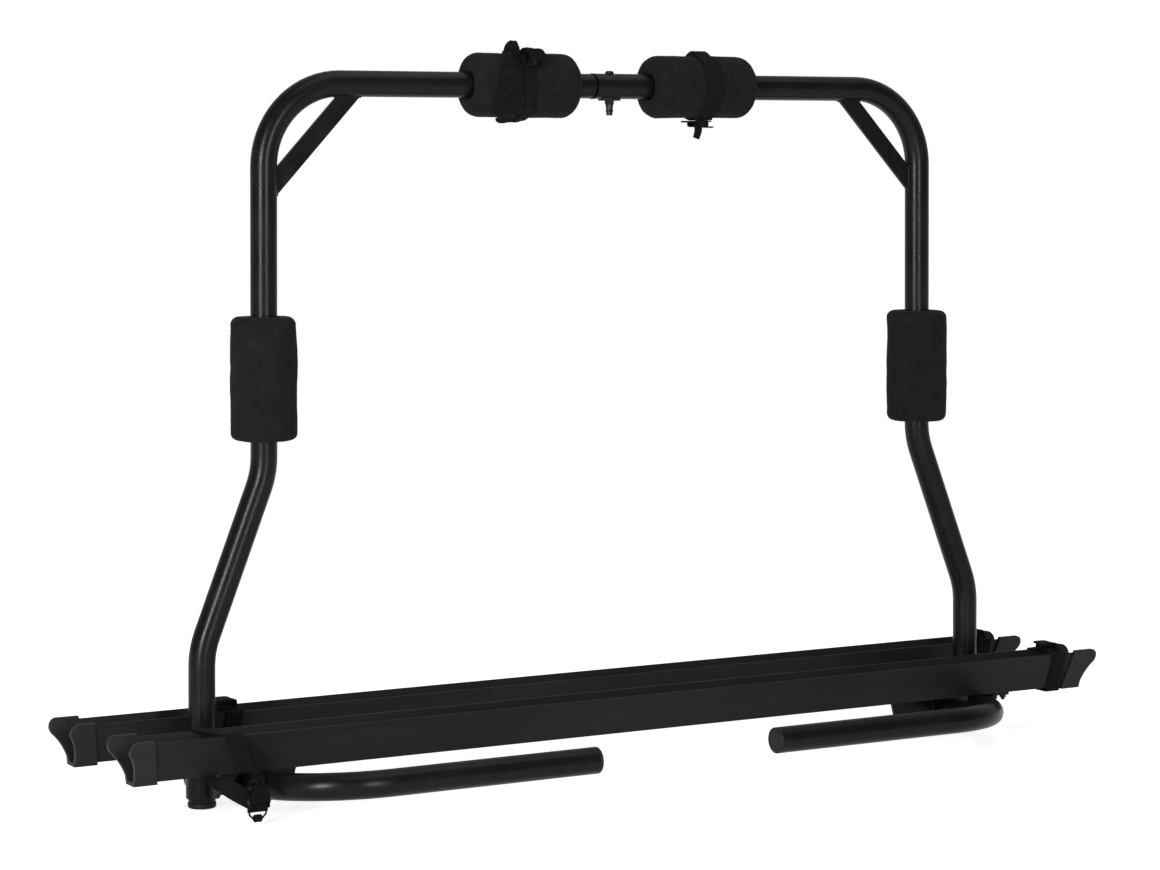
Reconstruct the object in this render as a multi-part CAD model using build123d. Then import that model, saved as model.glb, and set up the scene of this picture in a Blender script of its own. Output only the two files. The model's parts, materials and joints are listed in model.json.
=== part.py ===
from build123d import *
import math
import os

os.makedirs("parts", exist_ok=True)

# A bike carrier in millimetres. Two half hoops of bent steel tube meet in a bolted spigot at the top.
# Each hoop foot carries a bracket under two wheel rails and a gusset with a forward mounting arm.
# Foam pads sit on the tubes, and buckled straps go round the top pads and the rail ends.
# While it is modelled, X = 0 is the hoop's middle, Y = 0 its plane, Z = 0 the bottom of its feet,
# and -Y is the front. At the end everything moves so that the origin is the middle of the footprint.

# Hoop tube
TUBE_OD = 32.0
TUBE_WALL = 2.0
BEND_RADIUS = 100.0
TOP_BAR_Z = 855.0
SHOULDER_HALF_WIDTH = 475.0
FOOT_HALF_WIDTH = 555.0
UPPER_KINK_Z = 391.0
LOWER_KINK_Z = 185.0

# Spigot and bolt in the middle of the top bar
SPIGOT_LEFT_X = -60.0
SPIGOT_RIGHT_X = -25.5
SPIGOT_COLLAR_OD = 31.0
SPIGOT_SLIP = 0.1
SPIGOT_BORE = 20.0
SPIGOT_TENON = 75.0
BOLT_DIAMETER = 6.0
BOLT_HOLE_GAP = 0.2
BOLT_HEAD_DIAMETER = 11.0
BOLT_HEAD_HEIGHT = 3.4
BOLT_HEAD_ROUND = 2.7
SADDLE_LENGTH = 24.0
SADDLE_WIDTH = 15.0
SADDLE_THICKNESS = 2.2
KNOB_FLATS = 11.5
KNOB_HEX_HEIGHT = 4.5
KNOB_TIP_DIAMETER = 7.6
KNOB_LENGTH = 18.5
KNOB_RIDGE = 0.9
KNOB_RIDGE_SUNK = 0.6
KNOB_RIDGE_DROP = 8.4
KNOB_BOLT_INSET = 1.0
THREAD_RUNNING_GAP = 0.05

# Corner braces
BRACE_WIDTH = 22.5
BRACE_THICKNESS = 5.0
BRACE_ON_UPRIGHT_Z = 720.0
BRACE_ON_BAR_X = 350.0

# Plastic plugs in the tube ends
PLUG_TENON = 14.0
PLUG_RIB_GAP = 0.1
FOOT_PLUG_OD = 33.6
FOOT_PLUG_HEIGHT = 6.0
FOOT_PLUG_ROUND = 2.0
ARM_PLUG_THICKNESS = 4.0
ARM_PLUG_ROUND = 2.2

# Mounting arms
ARM_OFFSET = 39.0
ARM_REACH = 190.0
ARM_BEND_RADIUS = 118.0
ARM_BACK_Z = 30.1
ARM_FRONT_Z = 46.5
ARM_END_X = 129.5

# Wheel rails
RAIL_LENGTH = 1391.0
RAIL_SPACING = 142.0
RAIL_MIDDLE_Y = -4.0
FRONT_RAIL_SHIFT = 2.5
BACK_RAIL_SHIFT = -15.5
RAIL_TOP_WIDTH = 52.0
RAIL_BOTTOM_WIDTH = 20.0
RAIL_BOTTOM_Z = 53.5
RAIL_HEIGHT = 47.2
RAIL_WALL = 2.0

# Rail end caps
CAP_WALL = 3.0
CAP_COVER = 29.0
CAP_TOP_COVER = 37.0
CAP_TIP_REACH = 18.0
CAP_STEP = 3.0
CAP_STRAIGHT = 9.0
CAP_TIP_ROUND = 9.0
CAP_NOSE_SLOPE = 2.7
CAP_SHORT_WALL = 8.5
CAP_SLANT_SAG = 1.5

# Rail brackets, their bolts, and the gussets beside the feet
BRACKET_THICKNESS = 5.0
BRACKET_FLANGE_WIDTH = 24.0
BRACKET_FLANGE_THICKNESS = 4.0
BRACKET_REACH = 82.0
BRACKET_WEB_REACH = 68.0
BRACKET_COLLAR_WALL = 3.0
BRACKET_FOOT_Z = 12.0
BRACKET_TIP_DEPTH = 12.0
BRACKET_BELLY_Y = 46.0
BRACKET_BELLY_Z = 18.0
RAIL_BOLT_DIAMETER = 5.0
RAIL_BOLT_HEAD = 9.0
RAIL_BOLT_HEAD_HEIGHT = 3.0
RAIL_BOLT_HEAD_ROUND = 2.1
RAIL_BOLT_SPACING = 14.5
RAIL_NUT_FLATS = 8.0
RAIL_NUT_HEIGHT = 4.0
RAIL_BOLT_TAIL = 3.0
GUSSET_INNER_X = 430.0
GUSSET_SLANT = 11.0
GUSSET_CORNER = 6.0

# Foam pads
PAD_OD = 80.5
PAD_LENGTH = 148.0
PAD_BORE_GAP = 0.15
PAD_ROUND = 9.0
TOP_PAD_ROUND = 15.0
TOP_PAD_X = 129.0
LEFT_PAD_Z = 503.0
RIGHT_PAD_Z = 486.5

# Webbing
STRAP_WIDTH = 22.0
STRAP_THICKNESS = 2.0
STRAP_GAP = 0.4
RIBBON_OVERLAP = 1.6
LEFT_PAD_STRAP_X = -140.0
LEFT_PAD_STRAP_SLANT = -33.0
LEFT_PAD_SECOND_X = -133.0
LEFT_PAD_SECOND_WIDTH = 15.0
RIGHT_PAD_STRAP_X = 131.0
FOLD_HEIGHT = 15.0
FOLD_DEPTH = 6.0
FOLD_CORNER = 7.0
BUMP_HEIGHT = 4.0
BUMP_DEPTH = 16.0
TAIL_LENGTH = 26.0
TAIL_WIDTH = 12.0
TAIL_SWING = 6.0
TAIL_FORWARD = 17.0
LEFT_PAD_BUCKLE_X = -131.0
LEFT_PAD_BUCKLE_ANGLE = 42.0

# Rail strap places: beside a cap, beside a bracket, or inside an arm where the rail is too short
FRONT_RIGHT_STRAP_FROM_CAP = 4.0
BACK_RIGHT_STRAP_FROM_CAP = 3.0
BACK_LEFT_STRAP_FROM_FOOT = 58.0
STRAP_FROM_BRACKET = 2.5
STRAP_FROM_ARM = 3.0
SLACK_STRAP_SKEW = 22.0
SLACK_STRAP_SWING = 17.0
HANGING_BUCKLE_FORWARD = 30.0
HANGING_BUCKLE_Z = 30.0

# Cam buckles
BUCKLE_WIDTH = 25.0
BUCKLE_LENGTH = 26.0
BUCKLE_PLATE = 1.5
CHEEK_THICKNESS = 1.6
CHEEK_HEIGHT = 8.0
CHEEK_CORNER = 3.2
CHEEK_LENGTH = 17.0
BUCKLE_PIN_DIAMETER = 4.0
BUCKLE_PIN_Z = 5.0
BUCKLE_PIN_HEAD = 1.0
BUCKLE_PIN_HEAD_DIAMETER = 6.0
CAM_RADIUS = 3.3
LEVER_LENGTH = 20.0
LEVER_THICKNESS = 1.8
LEVER_TIP_ROUND = 6.0
LEVER_LIFT_ANGLE = 2.0
LEVER_SIDE_GAP = 0.3
BAIL_WIRE = 2.2
BAIL_REACH = 9.0
BAIL_SHOULDER = 2.7
BAIL_TIP_WIDTH = 8.0
BAIL_BEND = 2.0

# Worked out from the values above
TUBE_R = TUBE_OD / 2
TUBE_BORE_R = TUBE_R - TUBE_WALL
PAD_R = PAD_OD / 2
ARM_X = FOOT_HALF_WIDTH - ARM_OFFSET
RAIL_TOP_Z = RAIL_BOTTOM_Z + RAIL_HEIGHT
FRONT_RAIL_Y = RAIL_MIDDLE_Y - RAIL_SPACING / 2
BACK_RAIL_Y = RAIL_MIDDLE_Y + RAIL_SPACING / 2
HANGING_BUCKLE_Y = FRONT_RAIL_Y - RAIL_TOP_WIDTH / 2 - HANGING_BUCKLE_FORWARD
STRAP_MIDDLE = STRAP_GAP + STRAP_THICKNESS / 2
PLUG_TENON_R = TUBE_BORE_R - PLUG_RIB_GAP

SIDES = {"left": -1, "right": 1}
parts = {}


def swept_tube(points, radii):
    """A tube of the hoop's section along straight runs joined by bends."""
    path = FilletPolyline(*points, radius=radii)
    section = Plane(origin=path @ 0, z_dir=path % 0) * (Circle(TUBE_R) - Circle(TUBE_BORE_R))
    return sweep(section, path=path)


def box_between(low, high):
    size = [b - a for a, b in zip(low, high)]
    middle = [(a + b) / 2 for a, b in zip(low, high)]
    return Location(middle) * Box(*size)


def hoop_half(side):
    """One half hoop, from its end in the top bar down to the plug in its foot."""
    end_x = SPIGOT_LEFT_X if side < 0 else SPIGOT_RIGHT_X
    points = [
        (end_x, 0, TOP_BAR_Z),
        (side * SHOULDER_HALF_WIDTH, 0, TOP_BAR_Z),
        (side * SHOULDER_HALF_WIDTH, 0, UPPER_KINK_Z),
        (side * FOOT_HALF_WIDTH, 0, LOWER_KINK_Z),
        (side * FOOT_HALF_WIDTH, 0, FOOT_PLUG_HEIGHT),
    ]
    tube = swept_tube(points, [BEND_RADIUS] * 3)
    if side > 0:
        tube -= bolt_hole()
    return tube


def bolt_hole():
    return Pos(0, 0, TOP_BAR_Z) * Cylinder(BOLT_DIAMETER / 2 + BOLT_HOLE_GAP, TUBE_OD * 2)


def spigot():
    """The stepped plug that joins the two halves of the top bar."""
    along_bar = Plane(origin=(SPIGOT_LEFT_X, 0, TOP_BAR_Z), z_dir=(1, 0, 0))
    collar_length = SPIGOT_RIGHT_X - SPIGOT_LEFT_X
    body = along_bar * extrude(Circle(SPIGOT_COLLAR_OD / 2), collar_length)
    tenon_r = TUBE_BORE_R - SPIGOT_SLIP
    whole_length = collar_length + 2 * SPIGOT_TENON
    tenons = along_bar.offset(-SPIGOT_TENON) * extrude(Circle(tenon_r), whole_length)
    bore = along_bar.offset(-SPIGOT_TENON) * extrude(Circle(SPIGOT_BORE / 2), whole_length)
    return body + tenons - bore - bolt_hole()


def saddle_bottom_z():
    return TOP_BAR_Z - TUBE_R - SADDLE_THICKNESS


def centre_bolt():
    """The domed bolt through the spigot, down to the tip of its nut."""
    shank_top = TOP_BAR_Z + TUBE_R
    shank_bottom = saddle_bottom_z() - KNOB_LENGTH + KNOB_BOLT_INSET
    shank = Pos(0, 0, shank_bottom) * extrude(Circle(BOLT_DIAMETER / 2), shank_top - shank_bottom)
    head = Pos(0, 0, shank_top) * extrude(Circle(BOLT_HEAD_DIAMETER / 2), BOLT_HEAD_HEIGHT)
    head = fillet(head.edges().group_by(Axis.Z)[-1], BOLT_HEAD_ROUND)
    return shank + head


def bolt_saddle():
    """A curved washer between the bar and the nut."""
    bottom = saddle_bottom_z()
    block = box_between(
        (-SADDLE_LENGTH / 2, -SADDLE_WIDTH / 2, bottom),
        (SADDLE_LENGTH / 2, SADDLE_WIDTH / 2, TOP_BAR_Z),
    )
    bar = Pos(0, 0, TOP_BAR_Z) * Rot(0, 90, 0) * Cylinder(TUBE_R, SADDLE_LENGTH * 2)
    return block - bar - bolt_hole()


def centre_knob():
    """The tapered steel nut under the bar: a hexagon, a cone and a ridge round it."""
    top = saddle_bottom_z()
    hexagon = Pos(0, 0, top - KNOB_HEX_HEIGHT) * extrude(
        RegularPolygon(KNOB_FLATS / 2, 6, major_radius=False), KNOB_HEX_HEIGHT
    )
    cone_length = KNOB_LENGTH - KNOB_HEX_HEIGHT
    cone_top_r = KNOB_FLATS / 2 - KNOB_RIDGE
    cone = Pos(0, 0, top - KNOB_HEX_HEIGHT - cone_length / 2) * Cone(
        KNOB_TIP_DIAMETER / 2, cone_top_r, cone_length
    )
    ridge_z = top - KNOB_HEX_HEIGHT - KNOB_RIDGE_DROP
    ridge = Pos(0, 0, ridge_z) * Torus(cone_top_r - KNOB_RIDGE_SUNK, KNOB_RIDGE)
    bore = Pos(0, 0, top - KNOB_LENGTH / 2) * Cylinder(
        BOLT_DIAMETER / 2 + THREAD_RUNNING_GAP, KNOB_LENGTH * 2
    )
    return hexagon + cone + ridge - bore


def brace(side):
    """A flat bar welded across the corner, flat side to the front."""
    low = Vector(SHOULDER_HALF_WIDTH, 0, BRACE_ON_UPRIGHT_Z)
    high = Vector(BRACE_ON_BAR_X, 0, TOP_BAR_Z)
    along = (high - low).normalized()
    across = Vector(along.Z, 0, -along.X) * BRACE_WIDTH / 2
    corners = [low + across, low - across, high - across, high + across]
    outline = Polyline(*corners, close=True)
    bar = extrude(make_face(outline), BRACE_THICKNESS / 2, both=True)
    shoulder = FilletPolyline(
        (0, 0, TOP_BAR_Z),
        (SHOULDER_HALF_WIDTH, 0, TOP_BAR_Z),
        (SHOULDER_HALF_WIDTH, 0, UPPER_KINK_Z),
        radius=BEND_RADIUS,
    )
    bar -= sweep(Plane(origin=shoulder @ 0, z_dir=shoulder % 0) * Circle(TUBE_R), path=shoulder)
    bar = keep_largest(bar)
    return bar if side > 0 else bar.mirror(Plane.YZ)


def keep_largest(shape):
    return max(shape.solids(), key=lambda solid: solid.volume)


def foot_plug(side):
    """The plastic foot in the bottom of an upright."""
    flange = extrude(Circle(FOOT_PLUG_OD / 2), FOOT_PLUG_HEIGHT)
    flange = fillet(flange.edges().group_by(Axis.Z)[0], FOOT_PLUG_ROUND)
    tenon = Pos(0, 0, FOOT_PLUG_HEIGHT) * extrude(Circle(PLUG_TENON_R), PLUG_TENON)
    return Pos(side * FOOT_HALF_WIDTH, 0, 0) * (flange + tenon)


def arm_points():
    """Back end, corner and front end of the right arm's middle line."""
    back = Vector(ARM_X, 0, ARM_BACK_Z)
    corner = Vector(ARM_X, -ARM_REACH, ARM_FRONT_Z)
    end = Vector(ARM_END_X, -ARM_REACH, ARM_FRONT_Z)
    return back, corner, end


def arm(side):
    """A mounting arm: forward from the gusset, then bent in towards its twin."""
    back, corner, end = arm_points()
    forward = (corner - back).normalized()
    inward = (end - corner).normalized()
    bend_start = corner - forward * ARM_BEND_RADIUS
    bend_end = corner + inward * ARM_BEND_RADIUS
    centre = bend_start + inward * ARM_BEND_RADIUS
    middle = centre + (forward - inward).normalized() * ARM_BEND_RADIUS
    path = Wire([
        Edge.make_line(back, bend_start),
        Edge.make_three_point_arc(bend_start, middle, bend_end),
        Edge.make_line(bend_end, end),
    ])
    section = Plane(origin=back, z_dir=forward) * (Circle(TUBE_R) - Circle(TUBE_BORE_R))
    tube = sweep(section, path=path)
    behind = BRACKET_THICKNESS / 2
    tube -= box_between((ARM_X - TUBE_OD, -behind, -TUBE_OD), (ARM_X + TUBE_OD, TUBE_OD, TUBE_OD * 3))
    return tube if side > 0 else tube.mirror(Plane.YZ)


def arm_plug(side):
    """The domed plastic plug in an arm's free end."""
    into_tube = Plane(origin=(ARM_END_X - ARM_PLUG_THICKNESS, -ARM_REACH, ARM_FRONT_Z), z_dir=(1, 0, 0))
    disc = extrude(Circle(TUBE_R), ARM_PLUG_THICKNESS)
    disc = fillet(disc.edges().group_by(Axis.Z)[0], ARM_PLUG_ROUND)
    tenon = Pos(0, 0, ARM_PLUG_THICKNESS) * extrude(Circle(PLUG_TENON_R), PLUG_TENON)
    plug = into_tube * (disc + tenon)
    return plug if side > 0 else plug.mirror(Plane.YZ)


def rail_half_width(z, offset):
    """Half the rail's width at a height, on a face this far outside its outer one."""
    slope = (RAIL_TOP_WIDTH - RAIL_BOTTOM_WIDTH) / 2 / RAIL_HEIGHT
    return RAIL_BOTTOM_WIDTH / 2 + slope * (z - RAIL_BOTTOM_Z) + offset * math.hypot(1, slope)


def rail_section(grow_out):
    """The open V channel's section in YZ, its walls grown outwards."""
    top = RAIL_TOP_Z + grow_out
    outer_bottom = RAIL_BOTTOM_Z - grow_out
    inner_bottom = RAIL_BOTTOM_Z + RAIL_WALL
    corners = [
        (-rail_half_width(top, grow_out), top),
        (-rail_half_width(outer_bottom, grow_out), outer_bottom),
        (rail_half_width(outer_bottom, grow_out), outer_bottom),
        (rail_half_width(top, grow_out), top),
        (rail_half_width(top, -RAIL_WALL), top),
        (rail_half_width(inner_bottom, -RAIL_WALL), inner_bottom),
        (-rail_half_width(inner_bottom, -RAIL_WALL), inner_bottom),
        (-rail_half_width(top, -RAIL_WALL), top),
    ]
    return make_face(Polyline(*corners, close=True))


def channel(section, start_x, length):
    return Plane(origin=(start_x, 0, 0), x_dir=(0, 1, 0), z_dir=(1, 0, 0)) * extrude(section, length)


def rail_end_x():
    """Where the bare rail stops inside its cap, from the rail's middle."""
    return RAIL_LENGTH / 2 - CAP_TIP_REACH - CAP_STEP


def rail_bolt_places():
    return [
        (side * FOOT_HALF_WIDTH + offset)
        for side in SIDES.values()
        for offset in (-RAIL_BOLT_SPACING / 2, RAIL_BOLT_SPACING / 2)
    ]


def rail_floor_section():
    """The part of the rail's section between its walls' inner faces."""
    foot_half = rail_half_width(RAIL_BOTTOM_Z, -RAIL_WALL)
    floor_z = RAIL_BOTTOM_Z + RAIL_WALL
    floor_half = rail_half_width(floor_z, -RAIL_WALL)
    corners = [
        (-foot_half, RAIL_BOTTOM_Z),
        (foot_half, RAIL_BOTTOM_Z),
        (floor_half, floor_z),
        (-floor_half, floor_z),
    ]
    return make_face(Polyline(*corners, close=True))


def rail(shift, middle_y):
    """One wheel rail: a floor with its bolts' holes, and a wall at each side."""
    start, length = shift - rail_end_x(), 2 * rail_end_x()
    floor = channel(rail_floor_section(), start, length)
    walls = channel(rail_section(0) - rail_floor_section(), start, length)
    for x in rail_bolt_places():
        hole = Cylinder(RAIL_BOLT_DIAMETER / 2 + BOLT_HOLE_GAP, RAIL_WALL * 6)
        floor -= Pos(x, 0, RAIL_BOTTOM_Z) * hole
    pieces = floor.solids() + walls.solids()
    return Pos(0, middle_y, 0) * Compound(children=pieces)


def cap_profile(tip_x):
    """A cap's wall seen from the side, in XZ, with its nose at tip_x; X = 0 is the longer wall's nose."""
    low = RAIL_BOTTOM_Z - CAP_WALL
    high = RAIL_TOP_Z + CAP_WALL
    foot_x = -CAP_TIP_REACH
    knee = (foot_x, low + CAP_STRAIGHT)
    nose_low = (tip_x - CAP_NOSE_SLOPE, high - CAP_TIP_ROUND * 2)
    nose_tip = (tip_x, high - CAP_TIP_ROUND)
    nose_top = (tip_x - CAP_TIP_ROUND, high)
    middle = ((knee[0] + nose_low[0]) / 2 - CAP_SLANT_SAG, (knee[1] + nose_low[1]) / 2 + CAP_SLANT_SAG)
    seam_top = (-CAP_TOP_COVER, high)
    seam_foot = (foot_x - CAP_COVER, low)
    edges = [
        Line((foot_x, low), knee),
        ThreePointArc(knee, middle, nose_low),
        ThreePointArc(nose_low, nose_tip, nose_top),
        Line(nose_top, seam_top),
        Line(seam_top, seam_foot),
        Line(seam_foot, (foot_x, low)),
    ]
    return make_face(Wire([edge.edge() for edge in edges]))


def rail_cap(shift, middle_y, end):
    """A plastic cap over one rail end, open above like the rail, with one wall shorter than the other."""
    shell = channel(rail_section(CAP_WALL), RAIL_LENGTH / 2 - CAP_TIP_REACH - 2 * CAP_COVER, 3 * CAP_COVER)
    seen_from_side = Plane(origin=(RAIL_LENGTH / 2, 0, 0), x_dir=(1, 0, 0), z_dir=(0, -1, 0))
    cutter = seen_from_side * extrude(cap_profile(0), RAIL_TOP_WIDTH)
    cutter += seen_from_side * extrude(cap_profile(-CAP_SHORT_WALL), -RAIL_TOP_WIDTH)
    cap = shell & cutter
    cap -= channel(rail_section(0), 0, rail_end_x())
    turn = Rot(0, 0, 180) if end < 0 else Rot(0, 0, 0)
    return Pos(shift, middle_y, 0) * turn * cap


def rail_bracket(side):
    """The bracket on a foot: a collar, and a web and flange under each rail."""
    collar_r = TUBE_R + BRACKET_COLLAR_WALL
    height = RAIL_BOTTOM_Z - BRACKET_FOOT_Z
    collar = Pos(0, 0, BRACKET_FOOT_Z) * extrude(Circle(collar_r), height)
    web_outline = Polyline(
        (0, BRACKET_FOOT_Z),
        (BRACKET_BELLY_Y, BRACKET_BELLY_Z),
        (BRACKET_WEB_REACH, RAIL_BOTTOM_Z - BRACKET_TIP_DEPTH),
        (BRACKET_WEB_REACH, RAIL_BOTTOM_Z),
        (0, RAIL_BOTTOM_Z),
        close=True,
    )
    web_plane = Plane(origin=(0, 0, 0), x_dir=(0, 1, 0), z_dir=(1, 0, 0))
    web = web_plane * extrude(make_face(web_outline), BRACKET_THICKNESS / 2, both=True)
    flange_size = (BRACKET_FLANGE_WIDTH, BRACKET_REACH * 2, BRACKET_FLANGE_THICKNESS)
    flange = Pos(0, 0, RAIL_BOTTOM_Z - BRACKET_FLANGE_THICKNESS / 2) * Box(*flange_size)
    bracket = collar + web + web.mirror(Plane.XZ) + flange
    bracket -= extrude(Circle(TUBE_R), RAIL_TOP_Z * 2)
    for x in (-RAIL_BOLT_SPACING / 2, RAIL_BOLT_SPACING / 2):
        for y in (FRONT_RAIL_Y, BACK_RAIL_Y):
            bracket -= Pos(x, y, RAIL_BOTTOM_Z) * Cylinder(
                RAIL_BOLT_DIAMETER / 2 + BOLT_HOLE_GAP, BRACKET_FLANGE_THICKNESS * 4
            )
    return Pos(side * FOOT_HALF_WIDTH, 0, 0) * bracket


def rail_bolts(side, middle_y):
    """The two bolts and nuts that hold a rail on a bracket."""
    floor = RAIL_BOTTOM_Z + RAIL_WALL
    under = RAIL_BOTTOM_Z - BRACKET_FLANGE_THICKNESS
    bottom = under - RAIL_NUT_HEIGHT - RAIL_BOLT_TAIL
    head = Pos(0, 0, floor) * extrude(Circle(RAIL_BOLT_HEAD / 2), RAIL_BOLT_HEAD_HEIGHT)
    head = fillet(head.edges().group_by(Axis.Z)[-1], RAIL_BOLT_HEAD_ROUND)
    shank = Pos(0, 0, bottom) * extrude(Circle(RAIL_BOLT_DIAMETER / 2), floor - bottom)
    nut = Pos(0, 0, under - RAIL_NUT_HEIGHT) * extrude(
        RegularPolygon(RAIL_NUT_FLATS / 2, 6, major_radius=False), RAIL_NUT_HEIGHT
    )
    bolt = head + shank + nut
    places = [
        Pos(side * FOOT_HALF_WIDTH + x, middle_y, 0)
        for x in (-RAIL_BOLT_SPACING / 2, RAIL_BOLT_SPACING / 2)
    ]
    return [place * bolt for place in places]


def gusset(side):
    """The plate in the hoop's plane, inwards from a foot, that carries an arm."""
    outline = Polyline(
        (FOOT_HALF_WIDTH, BRACKET_FOOT_Z),
        (GUSSET_INNER_X + GUSSET_SLANT, BRACKET_FOOT_Z),
        (GUSSET_INNER_X, RAIL_BOTTOM_Z),
        (FOOT_HALF_WIDTH, RAIL_BOTTOM_Z),
        close=True,
    )
    upright = Plane(origin=(0, 0, 0), x_dir=(1, 0, 0), z_dir=(0, -1, 0))
    plate = upright * extrude(make_face(outline), BRACKET_THICKNESS / 2, both=True)
    inner_edges = plate.edges().filter_by(Axis.Y).group_by(Axis.X)[0]
    plate = fillet(inner_edges, GUSSET_CORNER)
    collar = Pos(FOOT_HALF_WIDTH, 0, 0) * extrude(
        Circle(TUBE_R + BRACKET_COLLAR_WALL), RAIL_TOP_Z
    )
    plate -= collar
    plate = keep_largest(plate)
    return plate if side > 0 else plate.mirror(Plane.YZ)


def foam_pad(rounding):
    """A foam sleeve standing on Z, with soft ends and the tube's bore."""
    body = Cylinder(PAD_R, PAD_LENGTH)
    body = fillet(body.edges().filter_by(GeomType.CIRCLE), rounding)
    return body - Cylinder(TUBE_R + PAD_BORE_GAP, PAD_LENGTH * 2)


def upright_pad(side, z):
    return Pos(side * SHOULDER_HALF_WIDTH, 0, z) * foam_pad(PAD_ROUND)


def top_pad(side):
    return Pos(side * TOP_PAD_X, 0, TOP_BAR_Z) * Rot(0, 90, 0) * foam_pad(TOP_PAD_ROUND)


def pad_wrap(x, width, slant=0):
    """A turn of webbing round a top pad, turned about Z by a few degrees."""
    inner = PAD_R + STRAP_GAP
    shell = Cylinder(inner + STRAP_THICKNESS, PAD_LENGTH) - Cylinder(inner, PAD_LENGTH)
    slab = Rot(0, 0, slant) * Box(width, PAD_OD * 2, PAD_OD * 2)
    return Pos(x, 0, TOP_BAR_Z) * (Rot(0, 90, 0) * shell & slab)


def standing_fold(x, width):
    """A pinched fold of webbing that stands up from the top of a wrap."""
    straight = FOLD_HEIGHT - FOLD_DEPTH / 2
    outline = Pos(0, straight / 2) * Rectangle(FOLD_DEPTH, straight) + Pos(0, straight) * Circle(FOLD_DEPTH / 2)
    foot_z = TOP_BAR_Z + PAD_R + STRAP_MIDDLE
    fold_plane = Plane(origin=(x - width / 2, 0, foot_z), x_dir=(0, 1, 0), z_dir=(1, 0, 0))
    fold = fold_plane * extrude(outline, width)
    dome = Pos(0, FOLD_HEIGHT / 2) * RectangleRounded(width, FOLD_HEIGHT, FOLD_CORNER)
    dome += Pos(0, FOLD_CORNER / 2) * Rectangle(width, FOLD_CORNER)
    seen_from_front = Plane(origin=(x, 0, foot_z), x_dir=(1, 0, 0), z_dir=(0, -1, 0))
    return fold & seen_from_front * extrude(dome, FOLD_DEPTH, both=True)


def left_pad_strap():
    """A slanted turn and a straight one, with a fold of webbing standing where they meet."""
    first = pad_wrap(LEFT_PAD_STRAP_X, STRAP_WIDTH, LEFT_PAD_STRAP_SLANT)
    second = pad_wrap(LEFT_PAD_SECOND_X, LEFT_PAD_SECOND_WIDTH)
    fold = standing_fold(LEFT_PAD_STRAP_X, STRAP_WIDTH - STRAP_THICKNESS)
    return first + second + fold


def right_pad_strap():
    """One turn with a low fold on top."""
    turn = pad_wrap(RIGHT_PAD_STRAP_X, STRAP_WIDTH)
    half = STRAP_WIDTH / 2
    bump = box_between(
        (RIGHT_PAD_STRAP_X - half, -BUMP_DEPTH / 2, TOP_BAR_Z),
        (RIGHT_PAD_STRAP_X + half, BUMP_DEPTH / 2, TOP_BAR_Z + PAD_R + STRAP_GAP + BUMP_HEIGHT),
    )
    inside = Pos(RIGHT_PAD_STRAP_X, 0, TOP_BAR_Z) * Rot(0, 90, 0) * Cylinder(PAD_R + STRAP_GAP, STRAP_WIDTH * 2)
    return turn + (bump - inside) + strap_tail()


def ribbon(points, acrosses, width):
    """Webbing laid flat from point to point, with the direction across it for each stretch."""
    band = None
    for start, end, across in zip(points, points[1:], acrosses):
        start, end, across = Vector(*start), Vector(*end), Vector(*across)
        along = end - start
        stretch_plane = Plane(origin=(start + end) / 2, x_dir=along, z_dir=along.cross(across))
        stretch = stretch_plane * Box(along.length + RIBBON_OVERLAP, width, STRAP_THICKNESS)
        band = stretch if band is None else band + stretch
    return band


def rail_belt():
    """The YZ section of a belt round a rail, with the rail's middle at Y = 0."""
    corners = [
        (-RAIL_TOP_WIDTH / 2, RAIL_TOP_Z),
        (-RAIL_BOTTOM_WIDTH / 2, RAIL_BOTTOM_Z),
        (RAIL_BOTTOM_WIDTH / 2, RAIL_BOTTOM_Z),
        (RAIL_TOP_WIDTH / 2, RAIL_TOP_Z),
    ]
    solid_rail = make_face(Polyline(*corners, close=True))
    return offset(solid_rail, STRAP_GAP + STRAP_THICKNESS) - offset(solid_rail, STRAP_GAP)


def outboard_strap_x():
    """The nearest place to a bracket for a strap's middle, on the side of the rail's end."""
    return FOOT_HALF_WIDTH + BRACKET_FLANGE_WIDTH / 2 + STRAP_FROM_BRACKET + STRAP_WIDTH / 2


def inboard_strap_x():
    """The nearest place to an arm for a strap's middle, on the side of the hoop's middle."""
    return ARM_X - TUBE_R - STRAP_FROM_ARM - STRAP_WIDTH / 2


def cap_strap_x(shift, from_cap):
    """A strap's middle beside the right cap of a rail, or inside the arm if it has no room there."""
    beside_cap = shift + RAIL_LENGTH / 2 - CAP_TIP_REACH - CAP_COVER - from_cap - STRAP_WIDTH / 2
    return beside_cap if beside_cap >= outboard_strap_x() else inboard_strap_x()


def slack_strap_x():
    """The slack strap's middle beside the left bracket, or inside the arm if the cap is in its way."""
    cap_x = RAIL_LENGTH / 2 - FRONT_RAIL_SHIFT - CAP_TIP_REACH - CAP_COVER
    has_room = cap_x >= outboard_strap_x() + STRAP_WIDTH / 2
    return -outboard_strap_x() if has_room else -inboard_strap_x()


def hanging_buckle_x():
    return slack_strap_x() + SLACK_STRAP_SKEW + SLACK_STRAP_SWING


def rail_loop(x, middle_y):
    """A buckled loop of webbing round a rail."""
    return Pos(0, middle_y, 0) * channel(rail_belt(), x - STRAP_WIDTH / 2, STRAP_WIDTH)


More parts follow.
